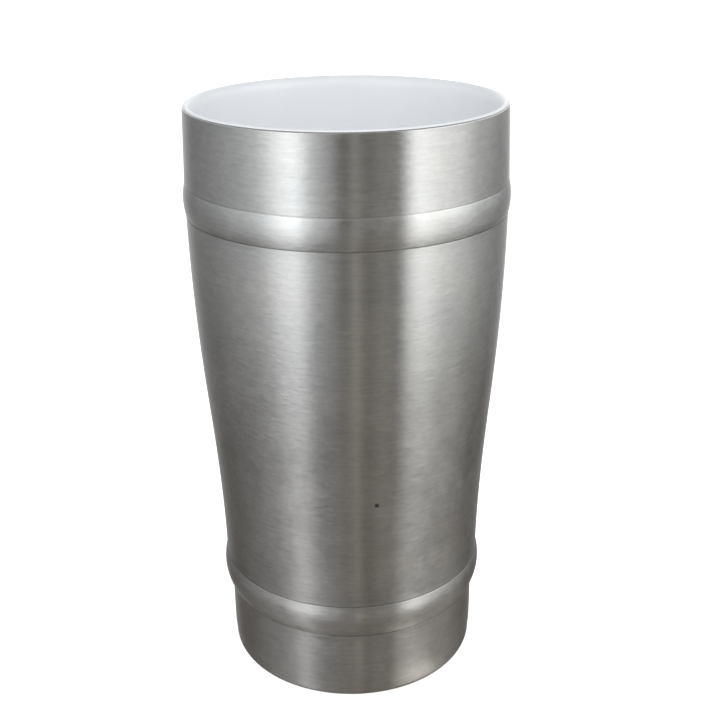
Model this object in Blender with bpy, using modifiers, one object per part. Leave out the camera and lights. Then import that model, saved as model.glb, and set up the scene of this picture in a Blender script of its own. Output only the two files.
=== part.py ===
"""Keg-shaped double-wall tumbler: a drawn steel shell with two rolled hoops
around a moulded white liner, closed underneath by a pressed plate.

Every piece is turned about the Z axis. Each one is drawn as a half section in
millimetres, in its own local frame, spun with a Screw modifier and put in
place by its object's location. Z = 0 is the surface the tumbler stands on.
"""

from math import cos, hypot, pi, radians, sin

import bmesh
import bpy

MM = 0.001
STEPS = 64  # facets round the axis
GAP = 0.3  # clearance kept between two pieces that touch

# Steel shell, outer surface: (radius, height)
SHEET = 0.6
RIM = (43.9, 167.45)
RIM_TOP = 167.8
HOOP_HIGH_TOP = (44.55, 147.7)
HOOP_HIGH_CREST = (45.12, 143.2)
HOOP_HIGH_BASE = (44.60, 139.1)
SHOULDER = (44.54, 137.5)
FLANK = (41.57, 82.0)
WAIST = (38.75, 36.0)
HOOP_LOW_TOP = (38.95, 33.0)
HOOP_LOW_CREST = (39.50, 28.5)
HOOP_LOW_BASE = (37.60, 22.2)
FOOT = (37.45, 20.5)
FOOT_LOW = (37.43, 7.0)
HEEL = (37.13, 2.45)
SHOULDER_SLOPE, FLANK_SLOPE, WAIST_SLOPE = 0.008, 0.093, 0.008

# Turned-in heel: the flat the tumbler stands on, then a step up to a shelf
STAND_IN_R = 33.3
STEP_R = 32.3
SHELF_IN_R = 28.4
SHELF_H = 2.0

# Base stack
GASKET_H, GASKET_IN_R, GASKET_OUT_R = 0.8, 29.2, 31.6
PLATE_R = 36.3
PLATE_DISH_R, PLATE_DISH_DEPTH = 27.7, 2.8
PLATE_BOSS_R, PLATE_BOSS_H = 10.0, 0.5
PAD_R, PAD_SINK = 25.6, 1.4
RING_FOOT_H, RING_TOP, RING_IN_R, RING_OUT_R = 1.4, 14.1, 35.1, 36.35
RING_FOOT_IN_R = 31.0

# Liner
LIP_TOP = 168.5
LIP_CROWN_R = 42.55
LIP_HEAD_R = 43.5
LIP_HEAD_UNDER = RIM_TOP + GAP
LIP_IN_R = 41.35
PLUG_R = 42.95
PLUG_LOW = 158.8
GROOVE_R, GROOVE_LOW, GROOVE_HIGH = 42.2, 160.6, 163.4
WALL = 1.5
WALL_IN_TOP = (41.35, 166.0)
WALL_IN_LOW = (33.0, 14.8)
FLOOR_Z, FLOOR_T = 10.8, 1.8
FLOOR_FILLET_IN, FLOOR_FILLET_OUT = 4.0, 5.0

# Seal in the liner's groove
SEAL_IN_R, SEAL_OUT_R = 42.5, 43.2


def arc(centre, radius, start, end, steps):
    """Points on a circular arc, angles in degrees from the +r direction."""
    turn = [radians(start + (end - start) * i / steps) for i in range(steps + 1)]
    return [(centre[0] + radius * cos(a), centre[1] + radius * sin(a)) for a in turn]


def bead(crest, edge, steps):
    """The arc from a hoop's crest, where it is upright, to one of its edges."""
    rise, drop = edge[1] - crest[1], crest[0] - edge[0]
    radius = (rise * rise + drop * drop) / (2 * drop)
    points = []
    for i in range(steps + 1):
        z = rise * i / steps
        points.append((crest[0] - radius + (radius**2 - z**2) ** 0.5, crest[1] + z))
    return points


def sweep(top, top_slope, low, low_slope, steps):
    """A wall between two heights with a set lean (dr/dz) at each end."""
    height = low[1] - top[1]
    points = []
    for i in range(steps + 1):
        t = i / steps
        r = (
            (2 * t**3 - 3 * t**2 + 1) * top[0]
            + (t**3 - 2 * t**2 + t) * height * top_slope
            + (3 * t**2 - 2 * t**3) * low[0]
            + (t**3 - t**2) * height * low_slope
        )
        points.append((r, top[1] + t * height))
    return points


def tidy(points, least=0.02):
    """The same line without points that fall on top of each other."""
    kept = [points[0]]
    for p in points[1:]:
        if hypot(p[0] - kept[-1][0], p[1] - kept[-1][1]) > least:
            kept.append(p)
    return kept


def other_side(points, thickness):
    """The far face of a sheet whose near face is the line given, mitred at bends.

    The line runs down the outside, so the metal lies to the right of it."""
    normals = []
    for (r0, z0), (r1, z1) in zip(points, points[1:]):
        length = hypot(r1 - r0, z1 - z0)
        normals.append(((z1 - z0) / length, -(r1 - r0) / length))
    moved = []
    for i, (r, z) in enumerate(points):
        a = normals[max(i - 1, 0)]
        b = normals[min(i, len(normals) - 1)]
        share = thickness / (1 + a[0] * b[0] + a[1] * b[1])
        moved.append((r + (a[0] + b[0]) * share, z + (a[1] + b[1]) * share))
    return moved


def shell_outside():
    """The steel shell's outer face, from its top edge to the shelf's free edge."""
    line = [(RIM[0] - 0.25, RIM_TOP), (RIM[0] - 0.07, RIM_TOP - 0.12), RIM]
    line += reversed(bead(HOOP_HIGH_CREST, HOOP_HIGH_TOP, 2))
    line += bead(HOOP_HIGH_CREST, HOOP_HIGH_BASE, 2)
    line += sweep(SHOULDER, SHOULDER_SLOPE, FLANK, FLANK_SLOPE, 5)
    line += sweep(FLANK, FLANK_SLOPE, WAIST, WAIST_SLOPE, 5)
    line += reversed(bead(HOOP_LOW_CREST, HOOP_LOW_TOP, 2))
    line += bead(HOOP_LOW_CREST, HOOP_LOW_BASE, 3)
    line += [FOOT, FOOT_LOW]
    line += arc((HEEL[0] - HEEL[1], HEEL[1]), HEEL[1], 0, -90, 4)
    line += arc((STAND_IN_R, 1.0), 1.0, -90, -180, 2)
    bend = SHELF_H - 1.0
    line += arc((STEP_R - bend, SHELF_H - bend), bend, 0, 90, 2)
    line += [(SHELF_IN_R, SHELF_H)]
    return tidy(line)


def outer_shell():
    outside = shell_outside()
    inside = [(RIM[0] - SHEET, RIM_TOP)] + other_side(outside, SHEET)[3:]
    return outside + inside[::-1]


def plate_underside():
    """Flat rim, step down into the dish, flat dish, raised boss in the middle."""
    bend = 0.8
    line = [(PLATE_R, 0.0)]
    line += arc((PLATE_DISH_R + bend, -bend), bend, 90, 180, 2)
    line += arc((PLATE_DISH_R - bend, bend - PLATE_DISH_DEPTH), bend, 0, -90, 2)
    line += [
        (PLATE_BOSS_R + PLATE_BOSS_H, -PLATE_DISH_DEPTH),
        (PLATE_BOSS_R, PLATE_BOSS_H - PLATE_DISH_DEPTH),
        (0.0, PLATE_BOSS_H - PLATE_DISH_DEPTH),
    ]
    return line


def base_plate():
    under = plate_underside()
    over = other_side(under, SHEET)
    return over[::-1] + under


def wall_in(z):
    """The liner's inner radius on its tapered wall."""
    (r1, z1), (r0, z0) = WALL_IN_TOP, WALL_IN_LOW
    return r0 + (r1 - r0) * (z - z0) / (z1 - z0)


def inner_liner():
    """Down the outside from the lip's crown, then back up the inside."""
    floor_under = FLOOR_Z - FLOOR_T
    corner = floor_under + FLOOR_FILLET_OUT
    wall_low = wall_in(corner) + WALL
    outside = [
        (LIP_CROWN_R, LIP_TOP),
        (43.15, LIP_TOP - 0.08),
        (LIP_HEAD_R, LIP_TOP - 0.25),
        (LIP_HEAD_R, LIP_HEAD_UNDER),
        (PLUG_R, LIP_HEAD_UNDER),
        (PLUG_R, GROOVE_HIGH),
        (GROOVE_R, GROOVE_HIGH),
        (GROOVE_R, GROOVE_LOW),
        (PLUG_R, GROOVE_LOW),
        (PLUG_R, PLUG_LOW),
        (wall_in(157.6) + WALL, 157.6),
    ]
    outside += arc(
        (wall_low - FLOOR_FILLET_OUT, corner), FLOOR_FILLET_OUT, 0, -90, 4
    )
    outside += [(0.0, floor_under)]
    fillet = FLOOR_Z + FLOOR_FILLET_IN
    inside = [(0.0, FLOOR_Z)]
    inside += arc(
        (wall_in(fillet) - FLOOR_FILLET_IN, fillet), FLOOR_FILLET_IN, -90, 0, 4
    )
    inside += [
        WALL_IN_TOP,
        (LIP_IN_R + 0.07, LIP_TOP - 1.2),
        (LIP_IN_R + 0.3, LIP_TOP - 0.5),
        (LIP_IN_R + 0.7, LIP_TOP - 0.1),
    ]
    # The section meets the axis twice, so it is one open line from the upper
    # axis point round to the lower one.
    return inside + outside


def ring(inner, outer, height):
    return [(outer, height), (outer, 0.0), (inner, 0.0), (inner, height)]


def centring_ring():
    """Upright sleeve with an inward foot."""
    return [
        (RING_OUT_R, RING_TOP),
        (RING_OUT_R, 0.0),
        (RING_FOOT_IN_R, 0.0),
        (RING_FOOT_IN_R, RING_FOOT_H),
        (RING_IN_R, RING_FOOT_H),
        (RING_IN_R, RING_TOP),
    ]


def support_pad(height):
    return [(0.0, height), (PAD_R, height), (PAD_R, 0.0), (0.0, 0.0)]


def material(name, colour, roughness, metallic=0.0):
    made = bpy.data.materials.new(name)
    made.use_nodes = True
    shader = made.node_tree.nodes["Principled BSDF"]
    shader.inputs["Base Color"].default_value = (*colour, 1.0)
    shader.inputs["Roughness"].default_value = roughness
    shader.inputs["Metallic"].default_value = metallic
    made.diffuse_color = (*colour, 1.0)
    return made


def turned(name, section, made_of, height, home, parent):
    """Spins a half section (mm) about Z. A section that starts and ends on the
    axis stays open there; any other is closed into a loop."""
    mesh = bpy.data.meshes.new(name)
    lines = bmesh.new()
    points = [lines.verts.new((r * MM, 0.0, z * MM)) for r, z in section]
    for a, b in zip(points, points[1:]):
        lines.edges.new((a, b))
    if section[0][0] > 0:
        lines.edges.new((points[-1], points[0]))
    lines.to_mesh(mesh)
    lines.free()
    obj = bpy.data.objects.new(name, mesh)
    home.objects.link(obj)
    spin = obj.modifiers.new("Turn", "SCREW")
    spin.axis = "Z"
    spin.angle = 2 * pi
    spin.steps = spin.render_steps = STEPS
    spin.use_merge_vertices = True
    spin.merge_threshold = 0.00001
    graph = bpy.context.evaluated_depsgraph_get()
    solid = bpy.data.meshes.new_from_object(obj.evaluated_get(graph))
    obj.modifiers.clear()
    obj.data = solid
    bpy.data.meshes.remove(mesh)
    solid.name = name
    solid.shade_smooth()
    solid.set_sharp_from_angle(angle=radians(28))
    solid.materials.clear()
    solid.materials.append(made_of)
    obj.location = (0.0, 0.0, height * MM)
    obj.parent = parent
    return obj


def main():
    for obj in list(bpy.data.objects):
        bpy.data.objects.remove(obj, do_unlink=True)

    home = bpy.data.collections.new("keg_tumbler")
    bpy.context.scene.collection.children.link(home)
    axis = bpy.data.objects.new("keg_tumbler_axis", None)
    axis.empty_display_size = 0.05
    home.objects.link(axis)

    shell_steel = material("shell_steel", (0.60, 0.59, 0.57), 0.34, 1.0)
    plate_steel = material("plate_steel", (0.55, 0.54, 0.52), 0.40, 1.0)
    liner_white = material("liner_white", (0.84, 0.86, 0.88), 0.32)
    seal_rubber = material("seal_rubber", (0.62, 0.64, 0.66), 0.60)
    gasket_rubber = material("gasket_rubber", (0.07, 0.07, 0.08), 0.75)
    ring_plastic = material("ring_plastic", (0.70, 0.71, 0.72), 0.50)
    pad_foam = material("pad_foam", (0.16, 0.16, 0.17), 0.90)

    gasket_z = SHELF_H + SHEET + GAP
    plate_z = gasket_z + GASKET_H + GAP
    ring_z = plate_z + SHEET + GAP
    pad_z = plate_z - PLATE_DISH_DEPTH + PAD_SINK
    pad_height = FLOOR_Z - FLOOR_T - GAP - pad_z

    pieces = (
        ("outer_shell", outer_shell(), shell_steel, 0.0),
        ("inner_liner", inner_liner(), liner_white, 0.0),
        (
            "rim_seal",
            ring(SEAL_IN_R, SEAL_OUT_R, GROOVE_HIGH - GROOVE_LOW - 2 * GAP),
            seal_rubber,
            GROOVE_LOW + GAP,
        ),
        ("base_gasket", ring(GASKET_IN_R, GASKET_OUT_R, GASKET_H), gasket_rubber, gasket_z),
        ("base_plate", base_plate(), plate_steel, plate_z),
        ("centring_ring", centring_ring(), ring_plastic, ring_z),
        ("support_pad", support_pad(pad_height), pad_foam, pad_z),
    )
    for name, section, made_of, height in pieces:
        turned(name, section, made_of, height, home, axis)


main()
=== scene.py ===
from math import atan2, cos, hypot, pi, radians, sin

import bmesh
import bpy
from mathutils import Matrix, Vector


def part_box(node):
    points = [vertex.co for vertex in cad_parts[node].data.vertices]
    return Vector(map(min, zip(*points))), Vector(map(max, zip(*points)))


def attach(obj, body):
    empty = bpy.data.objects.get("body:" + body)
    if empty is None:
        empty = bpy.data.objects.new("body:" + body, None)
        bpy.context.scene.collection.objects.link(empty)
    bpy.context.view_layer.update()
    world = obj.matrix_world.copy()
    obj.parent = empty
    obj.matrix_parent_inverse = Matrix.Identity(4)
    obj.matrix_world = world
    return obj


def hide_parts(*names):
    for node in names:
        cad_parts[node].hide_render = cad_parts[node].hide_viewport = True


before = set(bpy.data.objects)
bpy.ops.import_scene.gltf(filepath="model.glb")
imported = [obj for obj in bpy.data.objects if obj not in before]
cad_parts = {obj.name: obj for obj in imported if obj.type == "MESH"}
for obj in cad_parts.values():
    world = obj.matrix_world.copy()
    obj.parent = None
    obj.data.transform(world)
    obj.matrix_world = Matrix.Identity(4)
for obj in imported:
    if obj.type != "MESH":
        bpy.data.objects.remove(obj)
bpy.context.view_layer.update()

MM = 0.001
TURNS = 224  # columns round the axis in the finished shells

# ---------------------------------------------------------------- placement
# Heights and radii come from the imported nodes' own boxes (millimetres).


def node_mm(name):
    low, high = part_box(name)
    return [v / MM for v in low], [v / MM for v in high]


SHELL_LOW, SHELL_HIGH = node_mm("outer_shell")
LINER_LOW, LINER_HIGH = node_mm("inner_liner")
PLATE_LOW, PLATE_HIGH = node_mm("base_plate")
CREST_R = SHELL_HIGH[0]  # widest point: the upper hoop's crest
LIP_TOP = LINER_HIGH[2]
LIP_R = LINER_HIGH[0]
RIM_Z = SHELL_HIGH[2] + 0.20  # the steel edge, just under the lip
PLATE_R = PLATE_HIGH[0]
PLATE_TOP = PLATE_HIGH[2]

# The shell's own section, as radii and heights
SHEET = 0.6
RIM_R = CREST_R - 1.22
HIGH_TOP = (CREST_R - 0.57, 147.7)
HIGH_CREST = (CREST_R, 143.2)
HIGH_BASE = (CREST_R - 0.52, 139.1)
SHOULDER = (CREST_R - 0.58, 137.5)
FLANK = (CREST_R - 3.55, 82.0)
WAIST = (CREST_R - 6.40, 33.9)
LOW_TOP = (CREST_R - 6.34, 32.7)
LOW_CREST = (CREST_R - 5.62, 28.5)
LOW_BASE = (CREST_R - 7.52, 22.2)
FOOT_R = CREST_R - 7.67
FOOT_LOW_R = CREST_R - 7.69
HEEL_R, HEEL_BEND = CREST_R - 7.99, 2.45
STAND_IN_R, STEP_R, SHELF_IN_R, SHELF_H = 33.3, 32.3, 28.4, 2.0


# ---------------------------------------------------------------- sections
def arc(centre, radius, start, end, steps):
    turn = [radians(start + (end - start) * i / steps) for i in range(steps + 1)]
    return [(centre[0] + radius * cos(a), centre[1] + radius * sin(a)) for a in turn]


def bead(crest, edge, steps):
    """Crest of a rolled hoop down (or up) to its edge, upright at the crest."""
    rise, drop = edge[1] - crest[1], crest[0] - edge[0]
    radius = (rise * rise + drop * drop) / (2 * drop)
    return [
        (crest[0] - radius + (radius**2 - (rise * i / steps) ** 2) ** 0.5,
         crest[1] + rise * i / steps)
        for i in range(steps + 1)
    ]


def sweep(top, top_slope, low, low_slope, steps):
    height = low[1] - top[1]
    out = []
    for i in range(steps + 1):
        t = i / steps
        out.append((
            (2 * t**3 - 3 * t**2 + 1) * top[0]
            + (t**3 - 2 * t**2 + t) * height * top_slope
            + (3 * t**2 - 2 * t**3) * low[0]
            + (t**3 - t**2) * height * low_slope,
            top[1] + t * height,
        ))
    return out


def resample(points, spacing):
    """Walks the line and keeps points as close together as spacing(z) asks."""
    walk = [points[0]]
    for (r0, z0), (r1, z1) in zip(points, points[1:]):
        pieces = max(1, int(hypot(r1 - r0, z1 - z0) / 0.05 + 0.999))
        for k in range(1, pieces + 1):
            t = k / pieces
            walk.append((r0 + (r1 - r0) * t, z0 + (z1 - z0) * t))
    kept = [walk[0]]
    for p in walk[1:-1]:
        if hypot(p[0] - kept[-1][0], p[1] - kept[-1][1]) >= spacing(p[1]):
            kept.append(p)
    return kept + [walk[-1]]


def tidy(points, least=0.01):
    kept = [points[0]]
    for p in points[1:]:
        if hypot(p[0] - kept[-1][0], p[1] - kept[-1][1]) > least:
            kept.append(p)
    return kept


def other_side(points, thickness):
    """The far face of the sheet: the metal lies to the right of the line."""
    normals = []
    for (r0, z0), (r1, z1) in zip(points, points[1:]):
        length = hypot(r1 - r0, z1 - z0)
        normals.append(((z1 - z0) / length, -(r1 - r0) / length))
    moved = []
    for i, (r, z) in enumerate(points):
        a, b = normals[max(i - 1, 0)], normals[min(i, len(normals) - 1)]
        share = thickness / (1 + a[0] * b[0] + a[1] * b[1])
        moved.append((r + (a[0] + b[0]) * share, z + (a[1] + b[1]) * share))
    return moved


CREASES = (HIGH_TOP, HIGH_BASE, LOW_TOP, LOW_BASE)
CREASE_REACH = 0.28
CREASE_DEPTH = (0.02, 0.05, 0.05, 0.035)  # the collar's crease is the faintest
# the next two rows give how dark and how wide (mm) the painted shade along each crease is
CREASE_DARK = (0.45, 1.0, 1.0, 1.0)
CREASE_WIDE = (0.26, 0.30, 0.40, 0.46)


def creased(points):
    """Presses the fine line that a rolled hoop leaves along each of its edges."""
    out = []
    for r, z in points:
        for (_, cz), depth in zip(CREASES, CREASE_DEPTH):
            away = abs(z - cz) / CREASE_REACH
            if away < 1:
                r -= depth * (1 - away * away) ** 2
        out.append((r, z))
    return out


def spacing_of(z):
    near = min(abs(z - cz) for _, cz in CREASES)
    if near < 0.45:
        return 0.07
    if near < 5.2:
        return 0.6
    return 2.2


def shell_sections():
    wall = [(RIM_R, RIM_Z - 0.38)]
    wall += bead(HIGH_CREST, HIGH_TOP, 18)[::-1]
    wall += bead(HIGH_CREST, HIGH_BASE, 18)
    wall += sweep(SHOULDER, 0.008, FLANK, 0.093, 26)
    wall += sweep(FLANK, 0.093, WAIST, 0.012, 26)
    wall += bead(LOW_CREST, LOW_TOP, 18)[::-1]
    wall += bead(LOW_CREST, LOW_BASE, 22)
    wall += [(FOOT_R, 20.6), (FOOT_LOW_R, 7.0), (HEEL_R + 0.05, 3.6)]
    wall = creased(resample(tidy(wall), spacing_of))
    edge = arc((RIM_R - 0.32, RIM_Z - 0.32), 0.32, 88, 2, 7)
    heel = arc((HEEL_R - HEEL_BEND, HEEL_BEND), HEEL_BEND, 0, -90, 14)
    stand = [(0.5 * (HEEL_R - HEEL_BEND + STAND_IN_R), 0.0)]
    step = arc((STAND_IN_R, 1.0), 1.0, -90, -180, 8)
    bend = SHELF_H - 1.0
    step += arc((STEP_R - bend, SHELF_H - bend), bend, 0, 90, 8)
    outside = tidy(edge + wall + heel + stand + step + [(SHELF_IN_R, SHELF_H)])
    # The far face needs no fine rows along the wall.
    coarse = [(RIM_R, RIM_Z - 0.38)]
    coarse += bead(HIGH_CREST, HIGH_TOP, 4)[::-1] + bead(HIGH_CREST, HIGH_BASE, 4)
    coarse += sweep(SHOULDER, 0.008, FLANK, 0.093, 6)
    coarse += sweep(FLANK, 0.093, WAIST, 0.012, 6)
    coarse += bead(LOW_CREST, LOW_TOP, 4)[::-1] + bead(LOW_CREST, LOW_BASE, 4)
    coarse += [(FOOT_R, 20.6), (FOOT_LOW_R, 7.0)]
    coarse += arc((HEEL_R - HEEL_BEND, HEEL_BEND), HEEL_BEND, 0, -90, 6)
    coarse += arc((STAND_IN_R, 1.0), 1.0, -90, -180, 4)
    coarse += arc((STEP_R - bend, SHELF_H - bend), bend, 0, 90, 4)
    coarse += [(SHELF_IN_R, SHELF_H)]
    inside = other_side(tidy(coarse, 0.05), SHEET)
    inside[0] = (RIM_R - SHEET, RIM_Z - 0.3)
    inside = [(RIM_R - SHEET + 0.1, RIM_Z - 0.06)] + inside
    return outside, inside


# ---------------------------------------------------------------- mesh code
def lathe(name, section, closed, marks=None):
    """Turns a half section (mm) about Z into one closed mesh. Rows on the axis
    become single points. marks gives each row a value kept in "mark"."""
    mesh = bpy.data.meshes.new(name)
    b = bmesh.new()
    layer = b.verts.layers.float.new("mark")
    rows = []
    for i, (r, z) in enumerate(section):
        value = marks[i] if marks else 0.0
        if r < 1e-6:
            row = [b.verts.new((0.0, 0.0, z * MM))]
        else:
            row = [
                b.verts.new((r * MM * cos(2 * pi * k / TURNS),
                             r * MM * sin(2 * pi * k / TURNS), z * MM))
                for k in range(TURNS)
            ]
        for v in row:
            v[layer] = value
        rows.append(row)
    pairs = list(zip(rows, rows[1:]))
    if closed:
        pairs.append((rows[-1], rows[0]))
    for upper, lower in pairs:
        if len(upper) == 1 and len(lower) == 1:
            continue
        for k in range(TURNS):
            n = (k + 1) % TURNS
            if len(upper) == 1:
                b.faces.new((upper[0], lower[k], lower[n]))
            elif len(lower) == 1:
                b.faces.new((upper[k], lower[0], upper[n]))
            else:
                b.faces.new((upper[k], lower[k], lower[n], upper[n]))
    b.normal_update()
    b.to_mesh(mesh)
    b.free()
    mesh.shade_smooth()
    mesh.set_sharp_from_angle(angle=radians(40))
    obj = bpy.data.objects.new(name, mesh)
    bpy.context.scene.collection.objects.link(obj)
    return obj


# ---------------------------------------------------------------- node helpers
class Tree:
    """Small helper for writing node trees."""

    def __init__(self, name):
        self.material = bpy.data.materials.new(name)
        self.material.use_nodes = True
        self.tree = self.material.node_tree
        self.tree.nodes.clear()
        self.shader = self.node("ShaderNodeBsdfPrincipled")
        out = self.node("ShaderNodeOutputMaterial")
        self.join(self.shader.outputs["BSDF"], out.inputs["Surface"])

    def node(self, kind, **settings):
        made = self.tree.nodes.new(kind)
        for key, value in settings.items():
            setattr(made, key, value)
        return made

    def join(self, a, b):
        self.tree.links.new(a, b)

    def put(self, socket, value):
        if hasattr(value, "is_output") or isinstance(value, bpy.types.NodeSocket):
            self.join(value, socket)
        else:
            socket.default_value = value

    def sums(self, operation, a, b=None, c=None, clamp=False):
        n = self.node("ShaderNodeMath", operation=operation, use_clamp=clamp)
        for i, v in enumerate((a, b, c)):
            if v is not None:
                self.put(n.inputs[i], v)
        return n.outputs[0]

    def place(self):
        return self.node("ShaderNodeTexCoord").outputs["Object"]

    def scaled(self, vector, size, turn=(0, 0, 0), shift=(0, 0, 0)):
        """Coordinates divided by a feature size given in millimetres."""
        n = self.node("ShaderNodeMapping")
        self.join(vector, n.inputs["Vector"])
        n.inputs["Scale"].default_value = [1 / (s * MM) for s in size]
        n.inputs["Rotation"].default_value = turn
        n.inputs["Location"].default_value = shift
        return n.outputs[0]

    def noise(self, vector, detail=2.0, rough=0.5, distort=0.0):
        n = self.node("ShaderNodeTexNoise")
        self.join(vector, n.inputs["Vector"])
        n.inputs["Scale"].default_value = 1.0
        n.inputs["Detail"].default_value = detail
        n.inputs["Roughness"].default_value = rough
        n.inputs["Distortion"].default_value = distort
        return n.outputs["Fac"]

    def span(self, value, low, high, to_low, to_high, clamp=True, kind="LINEAR"):
        n = self.node("ShaderNodeMapRange", clamp=clamp, interpolation_type=kind)
        self.put(n.inputs["Value"], value)
        n.inputs["From Min"].default_value = low
        n.inputs["From Max"].default_value = high
        n.inputs["To Min"].default_value = to_low
        n.inputs["To Max"].default_value = to_high
        return n.outputs["Result"]

    def ramp(self, value, stops):
        n = self.node("ShaderNodeValToRGB")
        self.put(n.inputs["Fac"], value)
        marks = n.color_ramp.elements
        while len(marks) < len(stops):
            marks.new(0.5)
        for mark, (at, colour) in zip(marks, stops):
            mark.position = at
            mark.color = (*colour, 1.0)
        return n.outputs["Color"]

    def blend(self, share, a, b, how="MIX"):
        n = self.node("ShaderNodeMix", data_type="RGBA", blend_type=how)
        self.put(n.inputs[0], share)
        self.put(n.inputs[6], a if not isinstance(a, tuple) else (*a, 1.0))
        self.put(n.inputs[7], b if not isinstance(b, tuple) else (*b, 1.0))
        return n.outputs[2]

    def bump(self, height, strength, distance_mm, before=None):
        n = self.node("ShaderNodeBump")
        n.inputs["Strength"].default_value = strength
        n.inputs["Distance"].default_value = distance_mm * MM
        self.put(n.inputs["Height"], height)
        if before is not None:
            self.join(before, n.inputs["Normal"])
        return n.outputs["Normal"]

    def mark(self):
        return self.node("ShaderNodeAttribute", attribute_name="mark").outputs["Fac"]

    def finish(self, colour, roughness, normal=None, **constants):
        s = self.shader.inputs
        self.put(s["Base Color"], colour)
        self.put(s["Roughness"], roughness)
        if normal is not None:
            self.join(normal, s["Normal"])
        for key, value in constants.items():
            s[key.replace("_", " ")].default_value = value
        return self.material


# ---------------------------------------------------------------- materials
def brushed_steel(name, tone=(0.606, 0.612, 0.606), rough=0.32, low=None, pit=None):
    """Steel brushed round the axis: dashes of grain, longer strokes, smears and
    rub marks, and painted shade along the creases from "mark". low is the tone
    near the foot, a painted warm reflection of the table; pit is the place of one
    small pit in the surface, a dent with painted shade inside it."""
    t = Tree(name)
    at = t.place()
    fine = t.noise(t.scaled(at, (1.0, 1.0, 0.35)), 2.0, 0.6)
    dash = t.noise(t.scaled(at, (2.7, 2.7, 0.74), shift=(3, 1, 7)), 1.0, 0.5)
    stroke = t.noise(t.scaled(at, (10, 10, 0.66), shift=(8, 2, 3)), 1.0, 0.5)
    band = t.noise(t.scaled(at, (38, 38, 2.6), shift=(1, 9, 2)), 2.0, 0.5)
    smear = t.noise(t.scaled(at, (14, 14, 20), shift=(5, 2, 4)), 3.0, 0.6, 0.4)
    # painted shade: the "mark" value, varied by the smear noise, darkens the colour to 0.40 at
    # full strength; it also roughens the metal a little
    crease = t.sums("MULTIPLY", t.mark(), t.span(smear, 0.3, 0.7, 0.7, 1.1))

    grain = t.sums("ADD", t.sums("MULTIPLY", fine, 0.4), t.sums("MULTIPLY", dash, 0.6))
    shade = t.span(grain, 0.30, 0.70, 0.925, 1.075)
    shade = t.sums("MULTIPLY", shade, t.span(stroke, 0.3, 0.7, 0.973, 1.027))
    shade = t.sums("MULTIPLY", shade, t.span(band, 0.3, 0.7, 0.97, 1.03))
    shade = t.sums("MULTIPLY", shade, t.span(smear, 0.3, 0.7, 0.945, 1.05))
    shade = t.sums("MULTIPLY", shade, t.span(crease, 0.0, 1.0, 1.0, 0.40))
    # painted shade: inside the pit the colour is darkened to 0.22; the bump further down makes
    # the dent
    if pit:
        gap = t.node("ShaderNodeVectorMath", operation="DISTANCE")
        t.join(at, gap.inputs[0])
        gap.inputs[1].default_value = [v * MM for v in pit]
        hole = t.span(gap.outputs["Value"], 0.30 * MM, 0.85 * MM, 1.0, 0.0)
        shade = t.sums("MULTIPLY", shade, t.span(hole, 0.0, 1.0, 1.0, 0.22))
    warm = t.blend(t.span(smear, 0.35, 0.65, 0.0, 1.0), tone,
                   (tone[0] * 1.01, tone[1] * 0.998, tone[2] * 0.985))
    # painted warm reflection: towards the foot the tone is blended into low, a warm tint standing
    # in for warm light reflected from the table
    if low:
        split = t.node("ShaderNodeSeparateXYZ")
        t.join(at, split.inputs[0])
        toward_foot = t.sums("ADD", t.span(split.outputs["Z"], 0.035, 0.125, 1.0, 0.0,
                                      kind="SMOOTHSTEP"),
                        t.span(smear, 0.3, 0.7, -0.12, 0.12))
        warm = t.blend(t.span(toward_foot, 0.0, 1.0, 0.0, 1.0), warm, low)
    grey = t.node("ShaderNodeCombineColor")
    for i in range(3):
        t.join(shade, grey.inputs[i])
    colour = t.blend(1.0, warm, grey.outputs[0], "MULTIPLY")

    worn = t.span(grain, 0.30, 0.70, rough - 0.028, rough + 0.028)
    worn = t.sums("ADD", worn, t.span(smear, 0.35, 0.65, -0.015, 0.02))
    worn = t.sums("ADD", worn, t.sums("MULTIPLY", crease, 0.12))

    normal = t.bump(dash, 0.35, 0.075)
    normal = t.bump(fine, 0.30, 0.03, normal)
    if pit:
        normal = t.bump(t.sums("SUBTRACT", 1.0, hole), 0.5, 0.08, normal)
    t.finish(colour, worn, normal, Metallic=1.0, Anisotropic=0.85,
             Anisotropic_Rotation=0.25)
    tangent = t.node("ShaderNodeTangent", direction_type="RADIAL", axis="Z")
    t.join(tangent.outputs[0], t.shader.inputs["Tangent"])
    return t.material


def liner_plastic(name):
    """White moulded plastic: soft gloss, faint draw lines and scuffs."""
    t = Tree(name)
    at = t.place()
    orange = t.noise(t.scaled(at, (0.7, 0.7, 0.7)), 2.0, 0.5)
    flow = t.noise(t.scaled(at, (9, 9, 60), shift=(4, 4, 1)), 3.0, 0.55)
    scuff = t.noise(t.scaled(at, (1.2, 1.2, 14), shift=(2, 8, 5)), 3.0, 0.7)
    colour = t.ramp(flow, (
        (0.30, (0.866, 0.884, 0.899)),
        (0.70, (0.889, 0.906, 0.920)),
    ))
    # painted shade: the lip is made a little greyer, so that its crown and head come out no
    # brighter than the inside
    lip_shade = t.span(t.mark(), 0.0, 1.0, 1.0, 0.85)
    grey = t.node("ShaderNodeCombineColor")
    for i in range(3):
        t.join(lip_shade, grey.inputs[i])
    colour = t.blend(1.0, colour, grey.outputs[0], "MULTIPLY")
    worn = t.span(flow, 0.3, 0.7, 0.30, 0.37)
    worn = t.sums("ADD", worn, t.span(scuff, 0.55, 0.75, 0.0, 0.10))
    normal = t.bump(orange, 0.05, 0.03)
    normal = t.bump(scuff, 0.04, 0.02, normal)
    return t.finish(colour, worn, normal, IOR=1.49)


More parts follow.
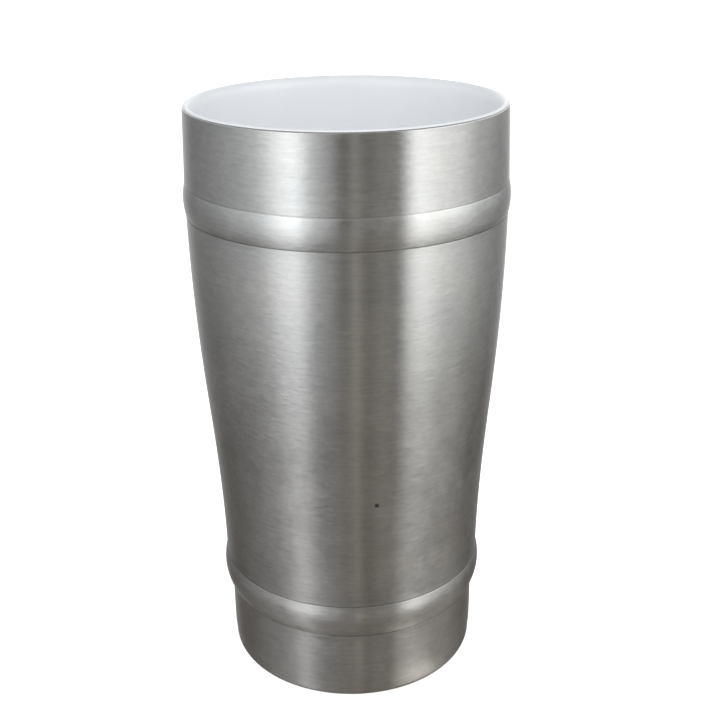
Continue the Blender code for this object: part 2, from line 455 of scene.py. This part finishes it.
def rubber(name, colour, rough):
    t = Tree(name)
    at = t.place()
    speck = t.noise(t.scaled(at, (0.5, 0.5, 0.5)), 3.0, 0.6)
    cloud = t.noise(t.scaled(at, (7, 7, 7)), 2.0, 0.5)
    dark = tuple(c * 0.82 for c in colour)
    tint = t.ramp(cloud, ((0.3, dark), (0.7, colour)))
    worn = t.span(speck, 0.3, 0.7, rough - 0.06, rough + 0.06)
    return t.finish(tint, worn, t.bump(speck, 0.3, 0.05))


def foam(name):
    t = Tree(name)
    at = t.place()
    cells = t.node("ShaderNodeTexVoronoi")
    t.join(t.scaled(at, (0.9, 0.9, 0.9)), cells.inputs["Vector"])
    cells.inputs["Scale"].default_value = 1.0
    pores = t.span(cells.outputs["Distance"], 0.0, 0.8, 0.0, 1.0)
    tint = t.ramp(pores, ((0.0, (0.09, 0.09, 0.10)), (1.0, (0.19, 0.19, 0.20))))
    return t.finish(tint, t.span(pores, 0, 1, 0.95, 0.85), t.bump(pores, 0.5, 0.15))


# ---------------------------------------------------------------- pieces
outside, inside = shell_sections()
section = outside + inside[::-1]
# painted shade: each outer row gets a "mark" value by which the steel is darkened, strongest on
# the lines along the hoops' creases
marks = []
for i, (r, z) in enumerate(section):
    value = 0.0
    if i < len(outside) and r > 36:
        value = max(dark * max(0.0, 1 - abs(z - cz) / wide)
                    for (_, cz), dark, wide in zip(CREASES, CREASE_DARK, CREASE_WIDE))
        if z > LOW_TOP[1]:  # painted shade: a wide darker band above the lower hoop's upper crease
            value = max(value, 0.34 * max(0.0, 1 - (z - LOW_TOP[1]) / 10))
        else:  # and a narrower band of painted shade on the hoop below that crease
            value = max(value, 0.52 * max(0.0, 1 - (LOW_TOP[1] - z) / 2.2))
    marks.append(value)
shell = lathe("steel_shell", section, True, marks)
shell.data.materials.append(brushed_steel(
    "steel_brushed_round", low=(0.614, 0.603, 0.588), pit=(6.98, -39.58, 66.1)))
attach(shell, "root")
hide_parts("outer_shell")


def liner_section():
    floor_z, under = 10.8, 9.0
    low_in, high_in = (33.0, 14.8), (41.35, 166.0)

    def wall(z):
        return low_in[0] + (high_in[0] - low_in[0]) * (z - low_in[1]) / (high_in[1] - low_in[1])

    top = LIP_TOP
    line = [(0.0, floor_z), (14.0, floor_z)]
    line += arc((wall(14.8) - 4.0, 14.8), 4.0, -90, 0, 12)
    line += [(wall(z), z) for z in (24, 40, 60, 80, 100, 120, 135, 148, 156, 161, 164)]
    # the lip: a soft lead-in, a rounded crown and a thin head over the steel
    line += [(high_in[0] - 0.03, 165.4), (41.44, top - 2.2), (41.60, top - 1.5),
             (41.82, top - 0.95), (42.06, top - 0.55), (42.32, top - 0.26),
             (42.58, top - 0.09), (42.82, top), (43.02, top - 0.03), (43.20, top - 0.11),
             (43.36, top - 0.21), (LIP_R - 0.03, top - 0.32), (LIP_R, top - 0.40),
             (LIP_R - 0.06, RIM_Z + 0.04), (42.95, RIM_Z + 0.03)]
    line += [(42.95, 163.4), (42.2, 163.4), (42.2, 160.6), (42.95, 160.6), (42.95, 158.8),
             (wall(157.6) + 1.5, 157.6)]
    line += [(wall(z) + 1.5, z) for z in (140, 110, 80, 50, 25)]
    line += arc((wall(14.0) + 1.5 - 5.0, under + 5.0), 5.0, 0, -90, 8)
    line += [(0.0, under)]
    return line


turned = liner_section()
# the lip rows get a "mark" up to 1, read by the material as painted shade
liner = lathe("white_liner", turned, False,
              [min(1.0, max(0.0, (z - LIP_TOP + 1.7) / 1.2)) for _, z in turned])
liner.data.materials.append(liner_plastic("plastic_white"))
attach(liner, "root")
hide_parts("inner_liner")


def plate_section():
    z0, bend, dish, deep = PLATE_TOP - 0.6, 0.8, 27.7, 2.8
    under = [(PLATE_R, z0), (33.0, z0)]
    under += arc((dish + bend, z0 - bend), bend, 90, 180, 8)
    under += arc((dish - bend, z0 + bend - deep), bend, 0, -90, 8)
    floor = z0 - deep
    # two stamped rings and a raised boss
    under += [(24.2, floor), (23.8, floor + 0.10), (23.4, floor + 0.28), (22.6, floor + 0.28),
              (22.2, floor + 0.10), (21.8, floor), (16.0, floor), (11.0, floor),
              (10.6, floor + 0.08), (10.2, floor + 0.34), (9.8, floor + 0.46), (9.3, floor + 0.5),
              (4.0, floor + 0.5), (0.0, floor + 0.5)]
    return other_side(under, 0.6)[::-1] + under


plate = lathe("steel_base", plate_section(), False)
plate.data.materials.append(brushed_steel("steel_pressed", (0.56, 0.555, 0.545), 0.38))
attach(plate, "root")
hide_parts("base_plate")


def dress(node, material):
    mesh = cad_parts[node].data
    mesh.materials.clear()
    mesh.materials.append(material)


dress("rim_seal", rubber("silicone_pale", (0.62, 0.64, 0.66), 0.55))
dress("base_gasket", rubber("gasket_black", (0.055, 0.055, 0.06), 0.70))
dress("centring_ring", rubber("ring_natural", (0.70, 0.71, 0.72), 0.45))
dress("support_pad", foam("pad_closed_cell"))


# ---------------------------------------------------------------- studio
def stage_mesh(name, points, faces):
    mesh = bpy.data.meshes.new(name)
    mesh.from_pydata(points, [], faces)
    obj = bpy.data.objects.new(name, mesh)
    bpy.context.scene.collection.objects.link(obj)
    return obj


def level(stops, x):
    """Brightness at x along a panel, from a few (angle, brightness) stops."""
    if x <= stops[0][0]:
        return stops[0][1]
    for (x0, y0), (x1, y1) in zip(stops, stops[1:]):
        if x <= x1:
            return y0 + (y1 - y0) * (x - x0) / (x1 - x0)
    return stops[-1][1]


def softbox(name, across, up, colour=(1, 1, 1), away=0.55, centre=0.09, solid=False):
    """A curved light panel round the object, graded like cloth lit from behind.
    across and up are stops in degrees: azimuth 0 faces the camera side (-Y)
    and grows towards +X, elevation grows upwards. A solid one hides what is
    behind it."""
    a0, a1 = across[0][0], across[-1][0]
    e0, e1 = up[0][0], up[-1][0]
    wide, high = 64, 32
    points, glow = [], []
    for j in range(high + 1):
        e = e0 + (e1 - e0) * j / high
        for i in range(wide + 1):
            a = a0 + (a1 - a0) * i / wide
            x = away * cos(radians(e))
            points.append((x * sin(radians(a)), -x * cos(radians(a)),
                           centre + away * sin(radians(e))))
            glow.append(level(across, a) * level(up, e))
    faces = []
    for j in range(high):
        for i in range(wide):
            k = j * (wide + 1) + i
            faces.append((k, k + 1, k + wide + 2, k + wide + 1))
    return glowing(stage_mesh(name, points, faces), glow, colour, solid)


def glowing(obj, glow, colour, solid=False):
    """Gives each point of a panel its own brightness; only reflections see it."""
    name = obj.name
    layer = obj.data.attributes.new("glow", "FLOAT", "POINT")
    layer.data.foreach_set("value", glow)
    made = bpy.data.materials.new(name)
    made.use_nodes = True
    nodes, links = made.node_tree.nodes, made.node_tree.links
    nodes.clear()
    emit = nodes.new("ShaderNodeEmission")
    emit.inputs["Color"].default_value = (*colour, 1)
    lit = nodes.new("ShaderNodeAttribute")
    lit.attribute_name = "glow"
    links.new(lit.outputs["Fac"], emit.inputs["Strength"])
    clear = nodes.new("ShaderNodeBsdfTransparent")
    both = nodes.new("ShaderNodeAddShader")
    links.new(emit.outputs[0], both.inputs[0])
    links.new(clear.outputs[0], both.inputs[1])
    out = nodes.new("ShaderNodeOutputMaterial")
    links.new((emit if solid else both).outputs[0], out.inputs["Surface"])
    obj.data.materials.append(made)
    obj.visible_camera = False
    obj.visible_diffuse = False
    obj.visible_shadow = False
    return obj


# a key panel on the left with a long soft tail, one on the right that starts
# hard, pale cards behind for the edges, and a narrow warm slot in front
softbox("softbox_left",
        ((-150, 0.0), (-124, 0.22), (-104, 0.27), (-88, 0.41), (-72, 0.57), (-58, 0.82),
         (-47, 1.58), (-34, 2.05), (-22, 0.72), (-12, 0.50), (-4, 0.0)),
        ((-29, 0.0), (-24, 0.24), (-19, 0.68), (-15, 0.90), (0, 0.72), (14, 1.36), (28, 1.07),
         (42, 0.0)),
        (0.968, 0.992, 1.010))
softbox("bounce_left",
        ((-150, 0.0), (-104, 0.10), (-72, 0.29), (-58, 0.27), (-47, 0.80), (-36, 0.03),
         (-22, 0.15), (-4, 0.12), (4, 0.0)),
        ((-80, 0.0), (-60, 1.0), (-45, 0.85), (-40, 0.47), (-36, 0.10), (-33, 0.0)),
        (0.980, 0.984, 0.988))
softbox("softbox_right",
        ((34.5, 0.0), (40.2, 0.64), (46.2, 2.0), (54, 1.38), (80, 1.35), (96, 0.79), (112, 0.68),
         (130, 0.46), (150, 0.0)),
        ((-28, 0.0), (-15, 0.28), (0, 0.45), (14, 1.34), (28, 1.9), (42, 0.0)),
        (0.985, 1.0, 0.99))
softbox("core_right",
        ((34, 0.0), (40, 1.9), (54, 2.15), (60, 1.75), (66, 1.10), (80, 0.50), (96, 0.26),
         (118, 0.0)),
        ((-22, 0.0), (-12, 1.0), (0, 0.0)), (1.0, 1.0, 0.99))
softbox("low_left",
        ((-58, 0.0), (-48, 0.20), (-34, 0.32), (-26, 0.0)),
        ((-31, 0.0), (-26, 1.0), (-20, 0.5), (-14, 0.0)), (0.98, 0.995, 1.01))
softbox("low_right",
        ((37, 0.0), (42, 0.48), (54, 0.52), (62, 0.20), (70, 0.0)),
        ((-31, 0.0), (-26, 1.0), (-20, 0.5), (-14, 0.0)), (1.0, 1.0, 0.98))
softbox("bounce_right",
        ((34, 0.0), (42, 0.34), (54, 0.18), (66, 0.17), (86, 0.20), (102, 0.24), (118, 0.20),
         (130, 0.0)),
        ((-80, 0.0), (-70, 0.45), (-58, 0.85), (-45, 0.95), (-38, 0.30), (-34, 0.05), (-28, 0.0)),
        (1.0, 0.95, 0.84))
softbox("card_back_right",
        ((128, 0.0), (146, 0.34), (165, 1.38), (180, 1.25)),
        ((-60, 0.0), (-45, 0.16), (-30, 0.32), (-15, 0.82), (0, 0.85), (14, 1.12),
         (28, 1.2), (42, 0.0)))
softbox("card_back_left",
        ((180, 1.25), (195, 1.1), (214, 0.4), (232, 0.0)),
        ((-70, 0.0), (-45, 0.58), (-28, 0.48), (-15, 0.85), (0, 0.85), (14, 1.12),
         (28, 1.2), (42, 0.0)))
softbox("slot_front",
        ((-14, 0.0), (-1, 0.04), (2.5, 0.15), (4, 0.45), (5.5, 0.50), (7.5, 0.16), (14, 0.07),
         (24, 0.22), (36, 0.0)),
        ((-80, 0.0), (-60, 0.36), (-38, 0.42), (-26, 0.85), (-17, 1.05), (-9, 1.22), (0, 1.0),
         (10, 1.0), (35, 0.0)),
        (1.0, 0.95, 0.86))
softbox("dark_front", ((-6, 0.03), (3.5, 0.03)), ((5, 1.0), (30, 1.0)), away=0.5, solid=True)
softbox("bounce_front",
        ((-16, 0.0), (-5, 0.07), (1, 0.07), (6, 0.04), (11, 0.01), (18, 0.02), (25, 0.06),
         (36, 0.0)),
        ((-75, 0.0), (-60, 0.8), (-38, 0.8), (-24, 1.05), (-16, 1.35), (-9, 1.45), (-3, 0.2),
         (2, 0.0)),
        (1.0, 0.91, 0.78))



def table_glow(name, across, out, colour):
    """Light on the table close to the foot, which only the steel shows. across
    is in degrees about the axis, out in metres from it."""
    a0, a1, r0, r1 = across[0][0], across[-1][0], out[0][0], out[-1][0]
    wide, deep = 40, 16
    points, glow, faces = [], [], []
    for j in range(deep + 1):
        r = r0 + (r1 - r0) * j / deep
        for i in range(wide + 1):
            a = a0 + (a1 - a0) * i / wide
            points.append((r * sin(radians(a)), -r * cos(radians(a)), -0.0001))
            glow.append(level(across, a) * level(out, r))
    for j in range(deep):
        for i in range(wide):
            k = j * (wide + 1) + i
            faces.append((k, k + 1, k + wide + 2, k + wide + 1))
    return glowing(stage_mesh(name, points, faces), glow, colour)


table_glow("table_right",
           ((20, 0.0), (27, 0.6), (33, 1.15), (41, 1.15), (49, 0.30), (55, 0.0)),
           ((0.0380, 0.0), (0.0405, 0.64), (0.0435, 0.54), (0.047, 0.10), (0.051, 0.0)),
           (1.0, 0.985, 0.90))

floor = stage_mesh(
    "floor",
    [(-6, -6, -0.0002), (6, -6, -0.0002), (6, 6, -0.0002), (-6, 6, -0.0002)],
    [(0, 1, 2, 3)],
)
pale = bpy.data.materials.new("floor_pale")
pale.use_nodes = True
p = pale.node_tree.nodes["Principled BSDF"]
p.inputs["Base Color"].default_value = (0.9, 0.9, 0.9, 1)
p.inputs["Roughness"].default_value = 0.9
p.inputs["Specular IOR Level"].default_value = 0.0
p.inputs["Emission Color"].default_value = (1, 1, 1, 1)
p.inputs["Emission Strength"].default_value = 0.7
# the floor shows from above only, so that the underside can be looked at
side = pale.node_tree.nodes.new("ShaderNodeNewGeometry")
gone = pale.node_tree.nodes.new("ShaderNodeBsdfTransparent")
both = pale.node_tree.nodes.new("ShaderNodeMixShader")
pale.node_tree.links.new(side.outputs["Backfacing"], both.inputs[0])
pale.node_tree.links.new(p.outputs[0], both.inputs[1])
pale.node_tree.links.new(gone.outputs[0], both.inputs[2])
pale.node_tree.links.new(both.outputs[0],
                         pale.node_tree.nodes["Material Output"].inputs["Surface"])
floor.data.materials.append(pale)
floor.visible_glossy = False

world = bpy.data.worlds.new("studio")
bpy.context.scene.world = world
world.use_nodes = True
wn, wl = world.node_tree.nodes, world.node_tree.links
wn.clear()
path = wn.new("ShaderNodeLightPath")
room = wn.new("ShaderNodeBackground")
room.inputs["Color"].default_value = (0.97, 0.98, 1.0, 1)
bright = wn.new("ShaderNodeMath")  # the backdrop itself stays white
bright.operation = "MULTIPLY_ADD"
bright.inputs[1].default_value = 0.10
bright.inputs[2].default_value = 0.92
wl.new(path.outputs["Is Camera Ray"], bright.inputs[0])
wl.new(bright.outputs[0], room.inputs["Strength"])
dim = wn.new("ShaderNodeBackground")
# what the steel sees between the panels: a dim room under a paler ceiling
aim = wn.new("ShaderNodeTexCoord")
split = wn.new("ShaderNodeSeparateXYZ")
wl.new(aim.outputs["Generated"], split.inputs[0])
half = wn.new("ShaderNodeMath")
half.operation = "MULTIPLY_ADD"
half.inputs[1].default_value = 0.5
half.inputs[2].default_value = 0.5
wl.new(split.outputs["Z"], half.inputs[0])
sky = wn.new("ShaderNodeValToRGB")
wl.new(half.outputs[0], sky.inputs["Fac"])
shades = ((0.0, 0.18, 0.80), (0.067, 0.068, 0.72), (0.213, 0.082, 0.70), (0.371, 0.034, 0.82),
          (0.5, 0.03, 1.0), (0.671, 0.30, 1.0), (0.854, 0.48, 1.0), (1.0, 0.38, 1.0))
while len(sky.color_ramp.elements) < len(shades):
    sky.color_ramp.elements.new(0.5)
for stop, (at, bright, blue) in zip(sky.color_ramp.elements, shades):
    stop.position = at
    stop.color = (bright, bright * (0.5 + 0.5 * blue), bright * blue, 1)
wl.new(sky.outputs["Color"], dim.inputs["Color"])
dim.inputs["Strength"].default_value = 1.0
pick = wn.new("ShaderNodeMixShader")
wout = wn.new("ShaderNodeOutputWorld")
wl.new(path.outputs["Is Glossy Ray"], pick.inputs[0])
wl.new(room.outputs[0], pick.inputs[1])
wl.new(dim.outputs[0], pick.inputs[2])
wl.new(pick.outputs[0], wout.inputs["Surface"])

# a soft lamp above and to the right, which only the white liner shows
lamp = bpy.data.objects.new("lamp_over", bpy.data.lights.new("lamp_over", "AREA"))
lamp.data.shape = "DISK"
lamp.data.size = 0.5
lamp.data.energy = 2.4
spot = Vector((cos(radians(28)) * sin(radians(12)), -cos(radians(28)) * cos(radians(12)),
               sin(radians(28))))
lamp.location = spot + Vector((0, 0, 0.15))
lamp.rotation_euler = spot.to_track_quat("Z", "Y").to_euler()
lamp.visible_glossy = False
lamp.visible_camera = False
bpy.context.scene.collection.objects.link(lamp)

# ---------------------------------------------------------------- camera
HEIGHT = (LIP_TOP - 0.5) * MM
eye = Vector((0.0, -1.8323 * HEIGHT, 1.3098 * HEIGHT))
camera = bpy.data.objects.new("camera", bpy.data.cameras.new("camera"))
camera.data.sensor_width = 36.0
camera.data.lens = 56.58
camera.data.shift_x = 0.01513
camera.data.clip_start = 0.01
bpy.context.scene.collection.objects.link(camera)
camera.matrix_world = (
    Matrix.Translation(eye)
    @ Matrix.Rotation(radians(90 - 22.50), 4, "X")
    @ Matrix.Rotation(radians(-0.73), 4, "Z")
)
bpy.context.scene.camera = camera
bpy.context.scene.view_settings.view_transform = "Standard"
